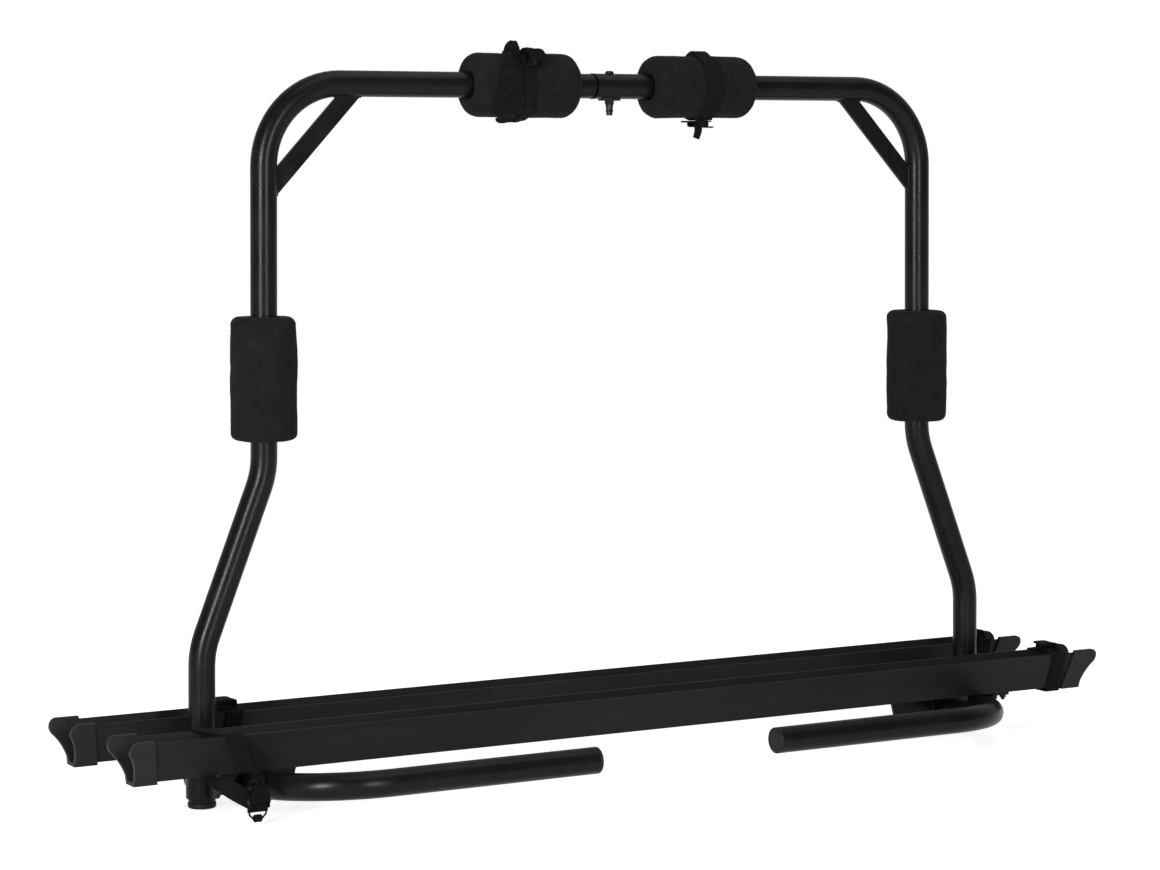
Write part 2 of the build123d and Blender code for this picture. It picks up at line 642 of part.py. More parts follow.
def front_left_strap():
    """The slack strap: up from its hanging buckle, over the rail, back under it to the buckle."""
    near_y = FRONT_RAIL_Y - RAIL_TOP_WIDTH / 2
    far_y = FRONT_RAIL_Y + RAIL_TOP_WIDTH / 2
    near_foot_y = FRONT_RAIL_Y - RAIL_BOTTOM_WIDTH / 2
    low_z = RAIL_TOP_Z + STRAP_GAP
    high_z = low_z + STRAP_THICKNESS
    half = STRAP_WIDTH / 2
    far_x = slack_strap_x()
    near_x = far_x + SLACK_STRAP_SKEW
    buckle_x = hanging_buckle_x()

    belt = Pos(0, FRONT_RAIL_Y, 0) * channel(rail_belt(), far_x - half, STRAP_WIDTH)
    belt -= box_between((far_x - STRAP_WIDTH, near_y * 2, low_z), (far_x + STRAP_WIDTH, 0, high_z * 2))
    belt -= box_between((far_x - STRAP_WIDTH, near_y * 2, 0), (far_x + STRAP_WIDTH, near_foot_y, low_z))
    over = Polyline(
        (far_x - half, far_y + STRAP_MIDDLE),
        (near_x - half, near_y - STRAP_MIDDLE),
        (near_x + half, near_y - STRAP_MIDDLE),
        (far_x + half, far_y + STRAP_MIDDLE),
        close=True,
    )
    over_rail = Pos(0, 0, low_z) * extrude(make_face(over), STRAP_THICKNESS)

    behind_buckle_y = HANGING_BUCKLE_Y + STRAP_MIDDLE
    buckle_top_z = HANGING_BUCKLE_Z + BUCKLE_LENGTH / 2
    down_to_buckle = ribbon(
        [
            (near_x, near_y - STRAP_MIDDLE, low_z + STRAP_THICKNESS / 2),
            (buckle_x, behind_buckle_y, buckle_top_z),
            (buckle_x, behind_buckle_y, HANGING_BUCKLE_Z),
        ],
        [(1, 0, 0.35), (1, 0, 0)],
        STRAP_WIDTH,
    )
    under_z = RAIL_BOTTOM_Z - STRAP_MIDDLE
    past_bracket_y = min(-BRACKET_REACH - STRAP_THICKNESS * 2, near_foot_y - half)
    back_under = ribbon(
        [
            (far_x, near_foot_y + STRAP_THICKNESS, under_z),
            (far_x, past_bracket_y, under_z - STRAP_THICKNESS),
            (far_x + half, past_bracket_y - STRAP_THICKNESS * 3, under_z - half),
            (buckle_x - half / 2, behind_buckle_y, HANGING_BUCKLE_Z - half / 2),
        ],
        [(1, 0, 0), (0.8, 0, 0.5), (0.5, 0, 0.8)],
        STRAP_WIDTH,
    )
    return belt + over_rail + down_to_buckle + back_under


def strap_tail():
    """The free end that hangs in front of the right pad's buckle."""
    x = RIGHT_PAD_STRAP_X - STRAP_WIDTH / 2
    y = -TAIL_FORWARD
    wrap_middle = PAD_R + STRAP_MIDDLE
    z = TOP_BAR_Z - math.sqrt(wrap_middle**2 - y**2)
    points = [
        (x, y, z),
        (x, y - STRAP_THICKNESS / 2, z - TAIL_LENGTH / 2),
        (x - TAIL_SWING, y - STRAP_THICKNESS, z - TAIL_LENGTH),
    ]
    return ribbon(points, [(1, 0, 0), (1, 0, 0.4)], TAIL_WIDTH)


def buckle_frame():
    """Base plate, two cheeks and a wire bail, lying on XY with the bail towards -Y."""
    half = BUCKLE_WIDTH / 2
    plate = Pos(0, 0, BUCKLE_PLATE / 2) * Box(BUCKLE_WIDTH, BUCKLE_LENGTH, BUCKLE_PLATE)
    cheek_outline = Pos(0, CHEEK_HEIGHT / 2) * RectangleRounded(
        CHEEK_LENGTH, CHEEK_HEIGHT, CHEEK_CORNER
    ) + Pos(0, CHEEK_HEIGHT / 4) * Rectangle(CHEEK_LENGTH, CHEEK_HEIGHT / 2)
    frame = plate
    for x in (-half, half - CHEEK_THICKNESS):
        cheek_plane = Plane(origin=(x, 0, 0), x_dir=(0, 1, 0), z_dir=(1, 0, 0))
        frame += cheek_plane * extrude(cheek_outline, CHEEK_THICKNESS)
    frame -= Pos(0, 0, BUCKLE_PIN_Z) * Rot(0, 90, 0) * Cylinder(BUCKLE_PIN_DIAMETER / 2, BUCKLE_WIDTH * 2)
    end_y = -BUCKLE_LENGTH / 2
    wire_z = BAIL_WIRE / 2
    shoulder = half - BAIL_WIRE
    corners = [
        (-shoulder, end_y + BAIL_WIRE, wire_z),
        (-shoulder, end_y - BAIL_SHOULDER, wire_z),
        (-BAIL_TIP_WIDTH / 2, end_y - BAIL_REACH, wire_z),
        (BAIL_TIP_WIDTH / 2, end_y - BAIL_REACH, wire_z),
        (shoulder, end_y - BAIL_SHOULDER, wire_z),
        (shoulder, end_y + BAIL_WIRE, wire_z),
    ]
    path = FilletPolyline(*corners, radius=BAIL_BEND)
    wire = sweep(Plane(origin=path @ 0, z_dir=path % 0) * Circle(BAIL_WIRE / 2), path=path)
    return frame + wire


def buckle_pin():
    """The cam's pin, with a small head outside each cheek."""
    long_way = Rot(0, 90, 0)
    shank = long_way * Cylinder(BUCKLE_PIN_DIAMETER / 2, BUCKLE_WIDTH)
    pin = shank
    for x in (-1, 1):
        head = long_way * Cylinder(BUCKLE_PIN_HEAD_DIAMETER / 2, BUCKLE_PIN_HEAD)
        pin += Pos(x * (BUCKLE_WIDTH + BUCKLE_PIN_HEAD) / 2, 0, 0) * head
    return Pos(0, 0, BUCKLE_PIN_Z) * pin


def buckle_lever():
    """The cam and its thumb tongue, closed, pointing to +Y."""
    width = BUCKLE_WIDTH - 2 * CHEEK_THICKNESS - 2 * LEVER_SIDE_GAP
    cam = Rot(0, 90, 0) * Cylinder(CAM_RADIUS, width)
    tongue_z = CAM_RADIUS - LEVER_THICKNESS / 2
    tongue = Pos(0, LEVER_LENGTH / 2, tongue_z) * Box(width, LEVER_LENGTH, LEVER_THICKNESS)
    tip_edges = tongue.edges().filter_by(Axis.Z).group_by(Axis.Y)[-1]
    tongue = fillet(tip_edges, LEVER_TIP_ROUND)
    lever = Rot(LEVER_LIFT_ANGLE, 0, 0) * (cam + tongue)
    lever -= Rot(0, 90, 0) * Cylinder(BUCKLE_PIN_DIAMETER / 2 + THREAD_RUNNING_GAP, BUCKLE_WIDTH * 2)
    return Pos(0, 0, BUCKLE_PIN_Z) * lever


def buckle_places():
    """Where each buckle lies: origin under its plate, X across the strap, Z outwards."""
    front_right_x = cap_strap_x(FRONT_RAIL_SHIFT, FRONT_RIGHT_STRAP_FROM_CAP)
    back_right_x = cap_strap_x(BACK_RAIL_SHIFT, BACK_RIGHT_STRAP_FROM_CAP)
    back_left_x = BACK_LEFT_STRAP_FROM_FOOT - FOOT_HALF_WIDTH
    wrap_r = PAD_R + 2 * STRAP_GAP + STRAP_THICKNESS
    rail_top = RAIL_TOP_Z + 2 * STRAP_GAP + STRAP_THICKNESS
    forward = math.sin(math.radians(LEFT_PAD_BUCKLE_ANGLE))
    upward = math.cos(math.radians(LEFT_PAD_BUCKLE_ANGLE))
    return {
        "left_pad": Plane(
            origin=(LEFT_PAD_BUCKLE_X, -wrap_r * forward, TOP_BAR_Z + wrap_r * upward),
            x_dir=(0, -upward, -forward),
            z_dir=(0, -forward, upward),
        ),
        "right_pad": Plane(
            origin=(RIGHT_PAD_STRAP_X, 0, TOP_BAR_Z - wrap_r), x_dir=(0, 1, 0), z_dir=(0, 0, -1)
        ),
        "front_left": Plane(
            origin=(hanging_buckle_x(), HANGING_BUCKLE_Y, HANGING_BUCKLE_Z), x_dir=(1, 0, 0), z_dir=(0, -1, 0)
        ),
        "front_right": Plane(origin=(front_right_x, FRONT_RAIL_Y, rail_top), x_dir=(1, 0, 0)),
        "back_left": Plane(origin=(back_left_x, BACK_RAIL_Y, rail_top), x_dir=(1, 0, 0)),
        "back_right": Plane(origin=(back_right_x, BACK_RAIL_Y, rail_top), x_dir=(1, 0, 0)),
    }


def build_parts():
    for name, side in SIDES.items():
        parts[f"{name}_hoop_tube"] = hoop_half(side)
        parts[f"{name}_brace"] = brace(side)
        parts[f"{name}_foot_plug"] = foot_plug(side)
        parts[f"{name}_arm_tube"] = arm(side)
        parts[f"{name}_arm_plug"] = arm_plug(side)
        parts[f"{name}_rail_bracket"] = rail_bracket(side)
        parts[f"{name}_gusset"] = gusset(side)
        parts[f"{name}_top_pad"] = top_pad(side)
    parts["left_upright_pad"] = upright_pad(-1, LEFT_PAD_Z)
    parts["right_upright_pad"] = upright_pad(1, RIGHT_PAD_Z)
    parts["top_spigot"] = spigot()
    parts["centre_bolt"] = centre_bolt()
    parts["bolt_saddle"] = bolt_saddle()
    parts["centre_knob"] = centre_knob()

    rails = {"front": (FRONT_RAIL_SHIFT, FRONT_RAIL_Y), "back": (BACK_RAIL_SHIFT, BACK_RAIL_Y)}
    for rail_name, (shift, middle_y) in rails.items():
        parts[f"{rail_name}_rail"] = rail(shift, middle_y)
        for name, side in SIDES.items():
            parts[f"{rail_name}_{name}_cap"] = rail_cap(shift, middle_y, side)
            parts[f"{rail_name}_{name}_bolts"] = rail_bolts(side, middle_y)

    parts["left_pad_strap"] = left_pad_strap()
    parts["right_pad_strap"] = right_pad_strap()
    parts["front_left_strap"] = front_left_strap()
    places = buckle_places()
    for name in ("front_right", "back_left", "back_right"):
        parts[f"{name}_strap"] = rail_loop(places[name].origin.X, places[name].origin.Y)

    for name, place in places.items():
        parts[f"{name}_buckle"] = place * buckle_frame()
        parts[f"{name}_buckle_pin"] = place * buckle_pin()
        parts[f"{name}_lever"] = place * buckle_lever()


def as_list(shape):
    return list(shape) if isinstance(shape, (list, tuple)) else shape.solids()


def write_parts():
    """Centre the footprint on the origin, feet at Z = 0, and write every piece."""
    everything = Compound(children=[solid for shape in parts.values() for solid in as_list(shape)])
    bounds = everything.bounding_box()
    move = Pos(-bounds.center().X, -bounds.center().Y, -bounds.min.Z)
    print("hoop middle in the final frame:", [round(v, 3) for v in move.position])
    for name, shape in parts.items():
        solids = [move * solid for solid in as_list(shape)]
        export_step(Compound(children=solids), f"parts/{name}.step")
    for name, place in buckle_places().items():
        pin = move.position + place.from_local_coords(Vector(0, 0, BUCKLE_PIN_Z))
        print("pin", name, [round(v, 3) for v in pin], "axis", [round(v, 3) for v in place.x_dir])


build_parts()
write_parts()
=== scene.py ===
"""The looks of a bike carrier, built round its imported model. All lengths are in metres."""

import json
import math

import bmesh
import bpy
from mathutils import Matrix, Vector, noise


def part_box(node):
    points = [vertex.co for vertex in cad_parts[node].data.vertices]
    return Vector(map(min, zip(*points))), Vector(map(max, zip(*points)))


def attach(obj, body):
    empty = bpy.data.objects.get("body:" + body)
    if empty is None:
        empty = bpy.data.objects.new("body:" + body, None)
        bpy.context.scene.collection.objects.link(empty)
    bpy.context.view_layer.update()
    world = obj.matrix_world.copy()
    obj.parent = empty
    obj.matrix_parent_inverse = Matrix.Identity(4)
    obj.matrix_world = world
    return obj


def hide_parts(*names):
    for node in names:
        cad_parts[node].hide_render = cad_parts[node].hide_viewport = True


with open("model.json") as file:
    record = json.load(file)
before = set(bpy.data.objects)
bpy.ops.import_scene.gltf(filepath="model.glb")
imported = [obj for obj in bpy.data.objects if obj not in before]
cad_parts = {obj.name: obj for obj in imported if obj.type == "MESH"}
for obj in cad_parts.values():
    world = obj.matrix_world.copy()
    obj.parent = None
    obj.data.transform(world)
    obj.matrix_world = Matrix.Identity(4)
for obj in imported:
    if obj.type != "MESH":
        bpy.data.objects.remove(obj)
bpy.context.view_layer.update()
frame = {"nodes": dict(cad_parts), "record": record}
nodes = frame["nodes"]


def middle_of(node):
    low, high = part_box(node)
    return (low + high) / 2


def size_of(node):
    low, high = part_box(node)
    return high - low


# The point on the floor midway between the hoop's feet
LEFT_FOOT = middle_of("left_foot_plug")
RIGHT_FOOT = middle_of("right_foot_plug")
HOOP = (LEFT_FOOT + RIGHT_FOOT) / 2
HOOP.z = 0

# The tube, and places on it. All places below are measured from that point.
TOP_BAR_Z = middle_of("left_top_pad").z
TUBE_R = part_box("left_hoop_tube")[1].z - TOP_BAR_Z
JOINT_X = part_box("right_hoop_tube")[0].x - HOOP.x
FOOT_X = (RIGHT_FOOT - LEFT_FOOT).x / 2
UPRIGHT_X = middle_of("right_upright_pad").x - HOOP.x
ARM_OFFSET = 0.039
ARM_X = FOOT_X - ARM_OFFSET
ARM_Z = 0.0303

# The pads. A wave is (how many to a metre, how high). Up to the still radius nothing moves.
PAD_R = size_of("left_upright_pad").x / 2
PAD_LENGTH = size_of("left_upright_pad").z
PAD_SKIN_INSET = 0.0004
PAD_TUBE_GAP = 0.0003
PAD_SEGMENTS = 128
PAD_WAVES = ((22, 0.0011), (70, 0.00045), (190, 0.00022))
PAD_END_WAVE = (40, 0.0007)
PAD_END_DEPTH = 0.006
PAD_STILL_R = 0.019
PAD_EASE = 0.014
TOP_PAD_ROUNDING = 0.015
UPRIGHT_PAD_ROUNDING = 0.009

# The straps
STRAP_WIDTH = 0.022
STRAP_THICKNESS = 0.0018
STRAP_GAP = 0.0006
STRAP_OFFSET = STRAP_GAP + STRAP_THICKNESS / 2
WRAP_R = PAD_R + STRAP_OFFSET
ROUTE_STEP = 0.0016
WEAVE_ACROSS = 0.0016
WEAVE_ALONG = 0.0022
TURN_STEPS = 40
CURL_STEPS = 16

# The rails' section
RAIL_TOP_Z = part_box("front_rail")[1].z
RAIL_BOTTOM_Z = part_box("front_rail")[0].z
RAIL_TOP_HALF = size_of("front_rail").y / 2
RAIL_BOTTOM_HALF = 0.010
FRONT_RAIL_Y = middle_of("front_rail").y - HOOP.y

# The welds: where the plates and tubes end, and the beads themselves
ARM_WELD_Y = -0.0034
PLATE_HALF = 0.0030
WELD_LIFT = 0.0003
BRACE_GAP = TUBE_R - WELD_LIFT
BRACE_LOW_X = UPRIGHT_X - BRACE_GAP
BRACE_LOW_Z = (0.7205, 0.7535)
BRACE_HIGH_X = (0.3490, 0.3800)
BRACE_HIGH_Z = TOP_BAR_Z - BRACE_GAP
GUSSET_X = 0.5362
GUSSET_Z = (0.0125, 0.0525)
WEB_Y = (0.020, 0.067)
WEB_Z = 0.0490
COLLAR_Z = 0.0118
BEAD_R = 0.0016
COLLAR_BEAD_R = 0.0014
BEAD_STEP = 0.0008
BEAD_RIPPLE = 0.0026
BEAD_RIPPLE_SHARE = 0.16
BEAD_LUMP_SHARE = 0.25
BEAD_SIDES = 10

RIGHT = Vector((1, 0, 0))
UP = Vector((0, 0, 1))
FORWARD = Vector((0, -1, 0))

# The photograph's viewing direction over the floor, and the direction to its right.
VIEW_AHEAD = Vector((0.4925, 0.8703, 0))
VIEW_RIGHT = Vector((0.8703, -0.4925, 0))

# The camera and the lights
CAMERA_PLACE = (-2.001, -3.4604, 0.7797)
CAMERA_TURN = (math.pi / 2 - 0.012, 0, -0.515)
CAMERA_LENS = 98.2
CAMERA_SHIFT = -0.2164
MID_HEIGHT = (0, 0, 0.5)
STRIP_SIZE = (0.35, 2.4)
CORE_SIZE = (0.07, 0.55)


def at(x, y, z):
    """A point given from the hoop's middle, in the row frame."""
    return HOOP + Vector((x, y, z))


# Shader node helpers


def new_material(name):
    material = bpy.data.materials.new(name)
    material.use_nodes = True
    return material, material.node_tree, material.node_tree.nodes["Principled BSDF"]


def feed(tree, node, inputs):
    """Sets a node's inputs, or links them where the value is another node's output."""
    for name, value in inputs.items():
        if isinstance(value, bpy.types.NodeSocket):
            tree.links.new(value, node.inputs[name])
        else:
            node.inputs[name].default_value = value


def add_node(tree, kind, inputs=None, **settings):
    """A shader node with its settings, and its inputs by name or number."""
    made = tree.nodes.new("ShaderNode" + kind)
    for name, value in settings.items():
        setattr(made, name, value)
    feed(tree, made, inputs or {})
    return made


def object_point(tree):
    return add_node(tree, "TexCoord").outputs["Object"]


def noise_value(tree, point, scale, detail, roughness=0.5):
    inputs = {"Vector": point, "Scale": scale, "Detail": detail, "Roughness": roughness}
    return add_node(tree, "TexNoise", inputs).outputs["Fac"]


def ramp(tree, value, stops):
    """A colour ramp through (place, colour) stops."""
    made = add_node(tree, "ValToRGB", {"Fac": value})
    elements = made.color_ramp.elements
    while len(elements) < len(stops):
        elements.new(0.5)
    for element, (place, colour) in zip(elements, stops):
        element.position = place
        element.color = (*colour, 1)
    return made.outputs["Color"]


def span(tree, value, low, high, low_from=0.3, high_from=0.7, shape="LINEAR"):
    """A value stretched from one range to another, and kept inside it."""
    inputs = {"Value": value, "From Min": low_from, "From Max": high_from, "To Min": low, "To Max": high}
    return add_node(tree, "MapRange", inputs, interpolation_type=shape).outputs["Result"]


def combine(tree, operation, a, b=0.0):
    return add_node(tree, "Math", {0: a, 1: b}, operation=operation).outputs[0]


def dot(tree, a, b):
    return add_node(tree, "VectorMath", {0: a, 1: b}, operation="DOT_PRODUCT").outputs["Value"]


def weighted_sum(tree, *parts):
    """The sum of (value, weight) parts."""
    total = combine(tree, "MULTIPLY", *parts[0])
    for value, weight in parts[1:]:
        total = combine(tree, "ADD", total, combine(tree, "MULTIPLY", value, weight))
    return total


def bump(tree, height, distance, strength, normal=None):
    inputs = {"Height": height, "Distance": distance, "Strength": strength}
    if normal is not None:
        inputs["Normal"] = normal
    return add_node(tree, "Bump", inputs).outputs["Normal"]


def soft_edges(tree, radius):
    """Normals that turn over the sharp edges of a solid, as paint or a mould's radius does."""
    return add_node(tree, "Bevel", {"Radius": radius}, samples=6).outputs["Normal"]


def stretched(tree, point, scale):
    return add_node(tree, "Mapping", {"Vector": point, "Scale": scale}).outputs["Vector"]


def grey(value, tint=(1, 1, 1)):
    return tuple(value * t for t in tint)


# Materials


def powder_coat():
    """Satin black powder coat: orange peel, and faint mottling with paler spots."""
    material, tree, shader = new_material("powder_coat")
    point = object_point(tree)
    peel = noise_value(tree, point, 750, 2.0)
    grain = noise_value(tree, point, 2600, 1.0)
    mottle = noise_value(tree, point, 22, 3.0, 0.6)
    gloss = combine(tree, "ADD", mottle, grain)
    height = weighted_sum(tree, (peel, 1.0), (grain, 0.3))
    tones = [
        (0.30, grey(0.0035, (0.95, 1.0, 1.02))),
        (0.62, grey(0.0055, (0.96, 1.0, 1.02))),
        (0.80, grey(0.0085, (0.98, 1.0, 1.0))),
    ]
    looks = {
        "Base Color": ramp(tree, mottle, tones),
        "Roughness": span(tree, gloss, 0.22, 0.33, 0.7, 1.3),
        "Normal": bump(tree, height, 0.00012, 0.55, soft_edges(tree, 0.0012)),
        "Specular IOR Level": 0.15,
    }
    feed(tree, shader, looks)
    return material


def rail_coat():
    """Coated aluminium with faint draw lines along X."""
    material, tree, shader = new_material("rail_coat")
    point = object_point(tree)
    lines = noise_value(tree, stretched(tree, point, (2.0, 900, 900)), 1.0, 3.0, 0.6)
    peel = noise_value(tree, point, 900, 2.0)
    mottle = noise_value(tree, stretched(tree, point, (5, 30, 30)), 1.0, 3.0, 0.6)
    height = weighted_sum(tree, (lines, 0.6), (peel, 0.5))
    tones = [
        (0.28, grey(0.0070, (0.93, 1.0, 0.98))),
        (0.60, grey(0.0100, (0.93, 1.0, 0.98))),
        (0.82, grey(0.0140, (0.95, 1.0, 0.99))),
    ]
    looks = {
        "Base Color": ramp(tree, mottle, tones),
        "Roughness": span(tree, lines, 0.42, 0.56),
        "Normal": bump(tree, height, 0.00010, 0.5, soft_edges(tree, 0.0008)),
        "Specular IOR Level": 0.14,
    }
    feed(tree, shader, looks)
    return material


def moulded_plastic():
    """Black plastic with a fine spark-eroded grain, and a painted highlight that makes its edges paler."""
    material, tree, shader = new_material("moulded_plastic")
    point = object_point(tree)
    grain = noise_value(tree, point, 1900, 3.0, 0.65)
    mottle = noise_value(tree, point, 60, 3.0)
    edge = soft_edges(tree, 0.0022)
    true_normal = add_node(tree, "NewGeometry").outputs["True Normal"]
    # Paler colour along the sharp edges: a painted highlight.
    edge_highlight_share = span(tree, dot(tree, edge, true_normal), 0.0, 0.5, 0.985, 0.80)
    body = ramp(tree, mottle, [(0.3, grey(0.0070)), (0.7, grey(0.0110))])
    painted_edge_highlight = add_node(tree, "MixRGB", {"Fac": edge_highlight_share, "Color1": body, "Color2": (0.040, 0.040, 0.039, 1)})
    looks = {
        "Base Color": painted_edge_highlight.outputs["Color"],
        "Roughness": span(tree, grain, 0.46, 0.58),
        "Normal": bump(tree, grain, 0.00008, 0.6, edge),
        "Specular IOR Level": 0.22,
    }
    feed(tree, shader, looks)
    return material


def foam():
    """Matt closed-cell foam: open pore pits at the skin, darkened by painted shade, soft lumps and grey
    dust.
    """
    material, tree, shader = new_material("foam")
    point = object_point(tree)
    cells = add_node(tree, "TexVoronoi", {"Vector": point, "Scale": 620.0, "Randomness": 1.0})
    pore_pits_and_shade = span(tree, cells.outputs["Distance"], 0.0, 1.0, 0.05, 0.42)
    fuzz = noise_value(tree, point, 1500, 4.0, 0.7)
    lumps = noise_value(tree, point, 120, 3.0, 0.6)
    dust = noise_value(tree, point, 45, 4.0, 0.65)
    tone = weighted_sum(tree, (dust, 0.65), (fuzz, 0.35))
    height = weighted_sum(tree, (fuzz, 0.45), (lumps, 0.9), (pore_pits_and_shade, 0.35))
    tones = [(0.34, grey(0.0065)), (0.55, grey(0.0098)), (0.72, grey(0.0155, (1.0, 1.0, 0.98)))]
    # The pore mask also darkens the colour: painted shade in the pits.
    mix = {"Fac": 0.5, "Color1": ramp(tree, tone, tones), "Color2": pore_pits_and_shade}
    shade = add_node(tree, "MixRGB", mix, blend_type="MULTIPLY")
    looks = {
        "Base Color": shade.outputs["Color"],
        "Normal": bump(tree, height, 0.0006, 0.8),
        "Roughness": 0.95,
        "Specular IOR Level": 0.08,
        "Sheen Weight": 0.02,
    }
    feed(tree, shader, looks)
    return material


def webbing():
    """Black woven webbing, its weave laid out along the band's own map."""
    material, tree, shader = new_material("webbing")
    laid_out = add_node(tree, "UVMap", uv_map="weave").outputs["UV"]
    parts = add_node(tree, "SeparateXYZ", {"Vector": laid_out})
    across = combine(tree, "MULTIPLY", parts.outputs["X"], 2 * math.pi / WEAVE_ACROSS)
    along = combine(tree, "MULTIPLY", parts.outputs["Y"], 2 * math.pi / WEAVE_ALONG)
    weave = combine(tree, "MULTIPLY", combine(tree, "SINE", across), combine(tree, "SINE", along))
    point = object_point(tree)
    fibres = noise_value(tree, point, 2200, 3.0, 0.7)
    wear = noise_value(tree, point, 90, 3.0)
    tone = weighted_sum(tree, (wear, 0.7), (fibres, 0.3))
    height = weighted_sum(tree, (weave, 0.5), (fibres, 1.0))
    tones = [(0.35, grey(0.0046)), (0.55, grey(0.0070)), (0.75, grey(0.0128))]
    looks = {
        "Base Color": ramp(tree, tone, tones),
        "Normal": bump(tree, height, 0.00030, 0.8),
        "Roughness": span(tree, fibres, 0.75, 0.92),
        "Specular IOR Level": 0.05,
        "Sheen Weight": 0.01,
    }
    feed(tree, shader, looks)
    return material


def metal(name, tones, roughness, scratch, edge_radius, metallic, specular=0.16):
    """A metal with two tones in blotches, fine scratches and rounded edges."""
    material, tree, shader = new_material(name)
    point = object_point(tree)
    blotch = noise_value(tree, point, 160, 3.0, 0.6)
    scratches = noise_value(tree, stretched(tree, point, (2500, 300, 1200)), 1.0, 3.0, 0.6)
    looks = {
        "Base Color": ramp(tree, blotch, [(0.35, tones[0]), (0.70, tones[1])]),
        "Roughness": span(tree, scratches, roughness[0], roughness[1]),
        "Normal": bump(tree, scratches, 0.00006, scratch, soft_edges(tree, edge_radius)),
        "Metallic": metallic,
        "Specular IOR Level": specular,
    }
    feed(tree, shader, looks)
    return material


ZINC_TONES = (grey(0.016), grey(0.042, (1, 1, 1.02)))
FINISHES = {
    "powder_black": powder_coat(),
    "rail_black": rail_coat(),
    "plastic_black": moulded_plastic(),
    "foam": foam(),
    "webbing": webbing(),
    "buckle_steel": metal("buckle_steel", (grey(0.002), grey(0.006)), (0.60, 0.78), 0.5, 0.0004, 0.0, 0.06),
    "zinc_steel": metal("zinc_steel", ZINC_TONES, (0.36, 0.50), 0.4, 0.0005, 1.0),
    "bolt_black": metal("bolt_black", (grey(0.012), grey(0.030)), (0.38, 0.52), 0.5, 0.0004, 0.4),
}
SLOTS = {part["node"]: part["material_slot"] for part in frame["record"]["subparts"]}

for name, part in nodes.items():
    finish = FINISHES[SLOTS[name]]
    for slot in part.material_slots:
        slot.material = finish


# Pieces


def new_piece(name, mesh, slot):
    """A smooth piece that rides on the carrier and has a material slot's finish."""
    piece = bpy.data.objects.new(name, mesh)
    bpy.context.scene.collection.objects.link(piece)
    mesh.materials.append(FINISHES[slot])
    for face in mesh.polygons:
        face.use_smooth = True
    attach(piece, "carrier")
    return piece


def lathe(profile, segments, shape):
    """A closed profile of (radius, height) turned round Z, each point then moved by shape."""
    mesh = bpy.data.meshes.new("lathe")
    made = bmesh.new()
    rings = []
    for step in range(segments):
        angle = 2 * math.pi * step / segments
        turned = [shape(Vector((r * math.cos(angle), r * math.sin(angle), z))) for r, z in profile]
        rings.append([made.verts.new(point) for point in turned])
    count = len(profile)
    for ring, after in zip(rings, rings[1:] + rings[:1]):
        for i in range(count):
            j = (i + 1) % count
            made.faces.new((ring[i], after[i], after[j], ring[j]))
    bmesh.ops.recalc_face_normals(made, faces=made.faces)
    made.to_mesh(mesh)
    made.free()
    return mesh


def sleeve_profile(length, radius, rounding, bore):
    """The outline of a foam sleeve's wall: bore, a small lead-in, end face, round corner and side."""
    face_steps = 4
    corner_steps = 8
    side_steps = 54
    bore_steps = 12
    half = length / 2
    lead = 0.0025
    face_from = bore + lead * 1.4
    face_to = radius - rounding
    top = [(bore, half - 2 * lead), (bore + lead * 0.5, half - lead * 0.7), (face_from, half - lead * 0.1)]
    for step in range(1, face_steps + 1):
        top.append((face_from + (face_to - face_from) * step / face_steps, half))
    straight = half - rounding
    for step in range(1, corner_steps + 1):
        angle = math.pi / 2 * step / corner_steps
        top.append((face_to + rounding * math.sin(angle), straight + rounding * math.cos(angle)))
    side = [(radius, straight - 2 * straight * step / side_steps) for step in range(1, side_steps)]
    bottom = [(r, -z) for r, z in reversed(top)]
    low = -half + 2 * lead
    inside = [(bore, low + (length - 4 * lead) * step / bore_steps) for step in range(1, bore_steps)]
    return top + side + bottom + inside


def pad_shape(seed, dents):
    """Moves a sleeve's outer points in and out a little: slow waves, lumps and named dents."""

    def shape(point):
        radial = Vector((point.x, point.y, 0))
        r = radial.length
        outward = radial / r
        depth = min(1.0, max(0.0, (r - PAD_STILL_R) / PAD_EASE))
        place = point + Vector((seed, seed * 0.7, 0))
        push = sum(noise.noise(place * scale) * size for scale, size in PAD_WAVES)
        for direction, height, spread, amount in dents:
            facing = max(0.0, outward.dot(Vector((math.cos(direction), math.sin(direction), 0))))
            push -= amount * facing**2 * math.exp(-(((point.z - height) / spread) ** 2))
        lift = 0.0
        if abs(point.z) > PAD_LENGTH / 2 - PAD_END_DEPTH:
            scale, size = PAD_END_WAVE
            lift = noise.noise(place * scale) * math.copysign(size, point.z)
        return point + outward * push * depth + Vector((0, 0, lift * depth))

    return shape


def foam_pad(name, turn, rounding, seed, dents=()):
    """A foam sleeve in place of a pad's solid. The seed picks its own part of the noise."""
    length = PAD_LENGTH - 0.001
    profile = sleeve_profile(length, PAD_R - PAD_SKIN_INSET, rounding, TUBE_R + PAD_TUBE_GAP)
    mesh = lathe(profile, PAD_SEGMENTS, pad_shape(seed, dents))
    mesh.transform(Matrix.Translation(middle_of(name)) @ turn)
    pad = new_piece(name + "_foam", mesh, "foam")
    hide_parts(name)


UPRIGHT = Matrix.Identity(4)
ALONG_BAR = Matrix.Rotation(math.pi / 2, 4, "Y")

# Each dent is (direction, height, spread, depth).
LEFT_DENT = (0.3, 0.068, 0.030, 0.0034)
RIGHT_DENT = (-1.2, -0.070, 0.016, 0.0012)

foam_pad("left_upright_pad", UPRIGHT, UPRIGHT_PAD_ROUNDING, 1.3, [LEFT_DENT])
foam_pad("right_upright_pad", UPRIGHT, UPRIGHT_PAD_ROUNDING, 5.1, [RIGHT_DENT])
foam_pad("left_top_pad", ALONG_BAR, TOP_PAD_ROUNDING, 9.7)
foam_pad("right_top_pad", ALONG_BAR, TOP_PAD_ROUNDING, 13.9)


